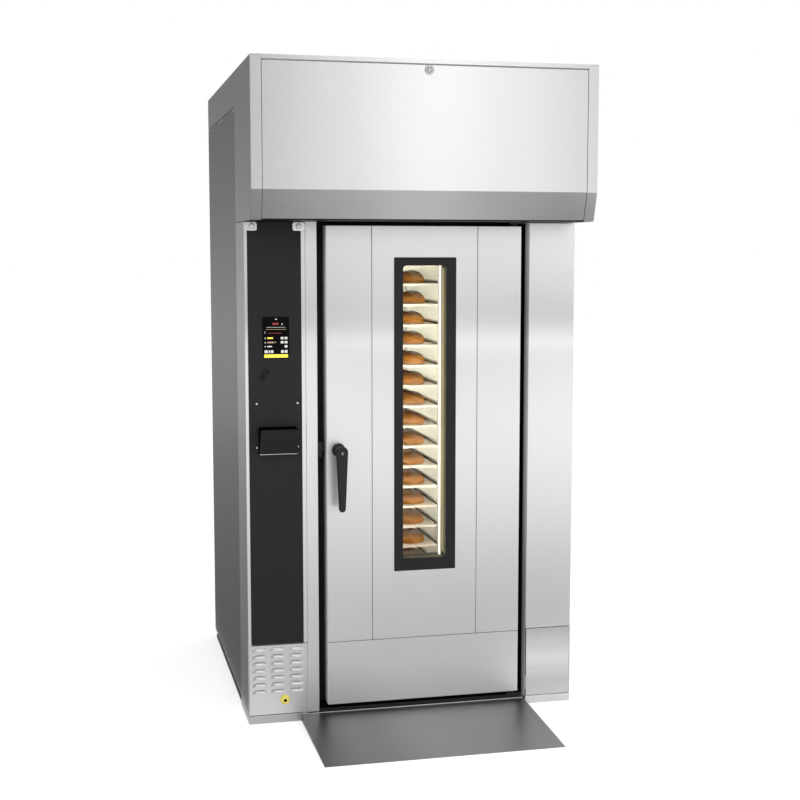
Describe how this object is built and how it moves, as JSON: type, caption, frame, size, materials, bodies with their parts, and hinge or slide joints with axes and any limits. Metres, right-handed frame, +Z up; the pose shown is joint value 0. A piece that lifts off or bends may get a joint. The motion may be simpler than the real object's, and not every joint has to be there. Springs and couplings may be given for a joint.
{
  "type": "rotating rack oven",
  "caption": "Tall free-standing rack oven with a steam hood, a narrow-windowed door, a control column and a wheeled tray rack that hangs from a lifting, turning drive.",
  "frame": {"origin": "centre of the whole footprint, ramp included, on the floor", "axes": "+Z up, -Y out of the front, +X to the right of a person facing the front"},
  "size_m": [1.344, 1.856, 2.635],
  "materials": {
    "frame_paint": "satin",
    "ramp_steel": "worn",
    "cabinet_steel": "brushed",
    "black_paint": "satin",
    "screen": "gloss",
    "black_plastic": "matte",
    "black_rubber": "matte",
    "yellow_fitting": "satin",
    "galvanised": "galvanised",
    "side_steel": "satin",
    "fastener_steel": "bright",
    "chamber_steel": "satin",
    "mineral_wool": "fibrous",
    "motor_paint": "satin",
    "machine_steel": "machined",
    "door_steel": "brushed",
    "window_glass": "clear",
    "lamp_glass": "frosted",
    "bush_bronze": "machined",
    "black_handle": "satin",
    "rack_steel": "satin",
    "tray_aluminium": "satin",
    "crust": "baked crust",
    "caster_plastic": "matte",
    "fan_steel": "satin"
  },
  "bodies": {
    "cabinet": {"base_frame": "frame_paint", "ramp": "ramp_steel", "chamber_floor": "cabinet_steel", "front_frame": "cabinet_steel", "door_jambs": "cabinet_steel", "lintel": "cabinet_steel", "left_column": "cabinet_steel", "control_panel": "black_paint", "touchscreen": "screen", "usb_port": "black_plastic", "document_pocket": "black_paint", "louvre_panel": "cabinet_steel", "hose_fitting": "yellow_fitting", "electrical_plate": "galvanised", "right_column": "cabinet_steel", "side_panels": "side_steel", "rear_panels": "side_steel", "roof_panel": "cabinet_steel", "hood_cheeks": "cabinet_steel", "hood_pan": "cabinet_steel", "cover_screws": "fastener_steel", "chamber_walls": "chamber_steel", "chamber_ceiling": "chamber_steel", "air_duct": "galvanised", "insulation": "mineral_wool", "fan_housing": "galvanised", "fan_motors": "motor_paint", "exhaust_duct": "galvanised", "door_hardware": "machine_steel", "lift_frame": "machine_steel"},
    "door": {"door_case": "door_steel", "door_insulation": "mineral_wool", "door_outer_skins": "door_steel", "door_middle_skin": "door_steel", "window_frame": "black_paint", "window_glass": "window_glass", "window_lamp": "lamp_glass", "door_gasket": "black_rubber", "hinge_bushes": "bush_bronze", "handle_rosette": "black_plastic"},
    "handle": {"handle_stem": "black_handle", "handle_lever": "black_handle"},
    "lift": {"lift_gearmotor": "motor_paint"},
    "rack": {"drive_shaft": "machine_steel", "rack_sides": "rack_steel", "rack_ends": "rack_steel", "trays": "tray_aluminium", "loaves": "crust", "caster_forks": "machine_steel"},
    "swivel_caster_left": {"swivel_left": "machine_steel"},
    "swivel_caster_right": {"swivel_right": "machine_steel"},
    "wheel_fl": {"wheel_front_left": "caster_plastic"},
    "wheel_fr": {"wheel_front_right": "caster_plastic"},
    "wheel_rl": {"wheel_rear_left": "caster_plastic"},
    "wheel_rr": {"wheel_rear_right": "caster_plastic"},
    "circulation_fan": {"fan_wheel": "fan_steel"},
    "extraction_fan": {"extraction_wheel": "fan_steel"},
    "hatch": {"hood_hatch": "cabinet_steel"},
    "lock": {"hatch_lock": "fastener_steel"},
    "port_cap": {"usb_cap": "black_rubber"}
  },
  "joints": [
    {"name": "door_hinge", "type": "hinge", "parent": "cabinet", "child": "door", "pos_m": [0.417, -0.384, 1], "axis": [0, 0, 1], "range_deg": [0, 110]},
    {"name": "handle_turn", "type": "hinge", "parent": "door", "child": "handle", "pos_m": [-0.305, -0.45, 1.088], "axis": [0, -1, 0], "range_deg": [0, 90]},
    {"name": "rack_lift", "type": "slide", "parent": "cabinet", "child": "lift", "axis": [0, 0, 1], "range_m": [0, 0.02]},
    {"name": "rack_spin", "type": "hinge", "parent": "lift", "child": "rack", "pos_m": [0, 0.286, 1], "axis": [0, 0, 1], "continuous": true},
    {"name": "swivel_left_turn", "type": "hinge", "parent": "rack", "child": "swivel_caster_left", "pos_m": [-0.182, 0.541, 0.17], "axis": [0, 0, 1], "continuous": true},
    {"name": "swivel_right_turn", "type": "hinge", "parent": "rack", "child": "swivel_caster_right", "pos_m": [0.182, 0.541, 0.17], "axis": [0, 0, 1], "continuous": true},
    {"name": "wheel_fl_roll", "type": "hinge", "parent": "rack", "child": "wheel_fl", "pos_m": [-0.182, 0.031, 0.0953], "axis": [1, 0, 0], "continuous": true},
    {"name": "wheel_fr_roll", "type": "hinge", "parent": "rack", "child": "wheel_fr", "pos_m": [0.182, 0.031, 0.0953], "axis": [1, 0, 0], "continuous": true},
    {"name": "wheel_rl_roll", "type": "hinge", "parent": "swivel_caster_left", "child": "wheel_rl", "pos_m": [-0.182, 0.511, 0.0953], "axis": [1, 0, 0], "continuous": true},
    {"name": "wheel_rr_roll", "type": "hinge", "parent": "swivel_caster_right", "child": "wheel_rr", "pos_m": [0.182, 0.511, 0.0953], "axis": [1, 0, 0], "continuous": true},
    {"name": "circulation_fan_spin", "type": "hinge", "parent": "cabinet", "child": "circulation_fan", "pos_m": [0.3, 0.286, 2.05], "axis": [0, 0, 1], "continuous": true},
    {"name": "extraction_fan_spin", "type": "hinge", "parent": "cabinet", "child": "extraction_fan", "pos_m": [-0.35, 0.596, 2.4], "axis": [0, 0, 1], "continuous": true},
    {"name": "hatch_hinge", "type": "hinge", "parent": "cabinet", "child": "hatch", "pos_m": [0, -0.606, 1.986], "axis": [1, 0, 0], "range_deg": [0, 75]},
    {"name": "hatch_lock_turn", "type": "hinge", "parent": "hatch", "child": "lock", "pos_m": [0, -0.64, 2.536], "axis": [0, 1, 0], "range_deg": [0, 90]},
    {"name": "usb_cap_swing", "type": "hinge", "parent": "cabinet", "child": "port_cap", "pos_m": [-0.601, -0.413, 1.4], "axis": [0, 1, 0], "range_deg": [-20, 40]}
  ]
}
